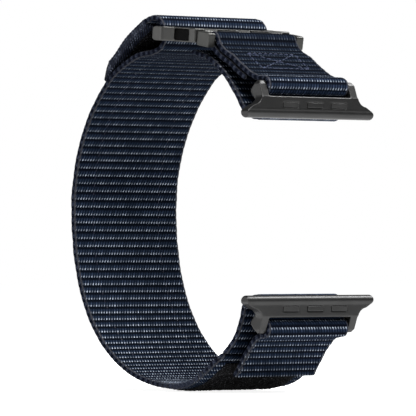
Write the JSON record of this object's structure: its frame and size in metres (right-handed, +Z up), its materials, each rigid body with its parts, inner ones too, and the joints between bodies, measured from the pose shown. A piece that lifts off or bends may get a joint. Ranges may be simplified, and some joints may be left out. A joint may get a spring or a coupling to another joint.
{
  "type": "fitness tracker band",
  "caption": "Ribbed nylon wrist band with a slotted metal buckle, hook-and-loop tail and slide-in lugs that join it to a watch or tracker.",
  "frame": {"origin": "centre of the wrist opening, midway across the strap", "axes": "+X from the wrist to the watch, +Y across the strap, +Z up from the lower lug to the buckle"},
  "size_m": [0.0675, 0.0346, 0.0821],
  "materials": {
    "webbing": "ribbed woven nylon",
    "webbing_binding": "woven nylon edge",
    "loop_pile": "loop pile",
    "hook_tape": "hook tape",
    "navy_thread": "sewing thread",
    "grey_thread": "sewing thread",
    "blue_thread": "sewing thread",
    "buckle_metal": "satin coated",
    "dark_inlay": "matt",
    "pin_steel": "brushed",
    "lug_metal": "satin coated",
    "latch_metal": "satin coated",
    "spring_steel": "bright",
    "pad_polymer": "satin"
  },
  "bodies": {
    "strap_loop": {"loop_strap": "webbing", "pile_panel": "loop_pile", "tail_bar_tacks": "navy_thread"},
    "tail": {"tail_flap": "webbing", "tail_edge_binding": "webbing_binding", "tail_hook_patch": "hook_tape", "tail_tip": "webbing_binding"},
    "tongue_end": {"tongue": "webbing", "tongue_hook_patch": "hook_tape", "tongue_stitching": "grey_thread"},
    "frame": {"buckle_frame": "buckle_metal", "side_inlays": "dark_inlay", "hinge_pin": "pin_steel"},
    "clasp": {"clasp_block": "buckle_metal", "clasp_bar": "pin_steel"},
    "short_band": {"short_strap": "webbing", "box_stitching": "blue_thread"},
    "upper_connector": {"upper_lug": "lug_metal", "upper_latch_spring": "spring_steel", "upper_latch_retainer": "latch_metal", "upper_side_pads": "pad_polymer"},
    "upper_latch": {"upper_latch_button": "latch_metal"},
    "lower_connector": {"lower_lug": "lug_metal", "lower_latch_spring": "spring_steel", "lower_latch_retainer": "latch_metal", "lower_side_pads": "pad_polymer"},
    "lower_latch": {"lower_latch_button": "latch_metal"}
  },
  "joints": [
    {"name": "tail_peel", "type": "hinge", "parent": "strap_loop", "child": "tail", "pos_m": [-0.0134, 0, 0.0409], "axis": [0, 1, 0], "range_deg": [0, 85]},
    {"name": "tongue_peel", "type": "hinge", "parent": "strap_loop", "child": "tongue_end", "pos_m": [0.0204, 0, -0.02775], "axis": [0, -1, 0], "range_deg": [-10, 80]},
    {"name": "buckle_pivot", "type": "hinge", "parent": "strap_loop", "child": "frame", "pos_m": [-0.0092, 0, 0.03795], "axis": [0, -1, 0], "range_deg": [0, 40]},
    {"name": "clasp_hinge", "type": "hinge", "parent": "frame", "child": "clasp", "pos_m": [0.0022, 0, 0.0377], "axis": [0, -1, 0], "range_deg": [0, 55]},
    {"name": "short_strap_pivot", "type": "hinge", "parent": "clasp", "child": "short_band", "pos_m": [0.0055, 0, 0.036], "axis": [0, -1, 0], "range_deg": [-4, 35]},
    {"name": "upper_lug_pivot", "type": "hinge", "parent": "short_band", "child": "upper_connector", "pos_m": [0.0229, 0, 0.0258], "axis": [0, -1, 0], "range_deg": [0, 45]},
    {"name": "lower_lug_pivot", "type": "hinge", "parent": "strap_loop", "child": "lower_connector", "pos_m": [0.0229, 0, -0.0258], "axis": [0, 1, 0], "range_deg": [0, 45]},
    {"name": "upper_latch_press", "type": "slide", "parent": "upper_connector", "child": "upper_latch", "axis": [-1, 0, 0], "range_m": [0, 0.0005], "stiffness_N_per_m": 400, "springref_m": -0.0003, "deforming": ["upper_latch_spring"]},
    {"name": "lower_latch_press", "type": "slide", "parent": "lower_connector", "child": "lower_latch", "axis": [-1, 0, 0], "range_m": [0, 0.0005], "stiffness_N_per_m": 400, "springref_m": -0.0003, "deforming": ["lower_latch_spring"]}
  ]
}
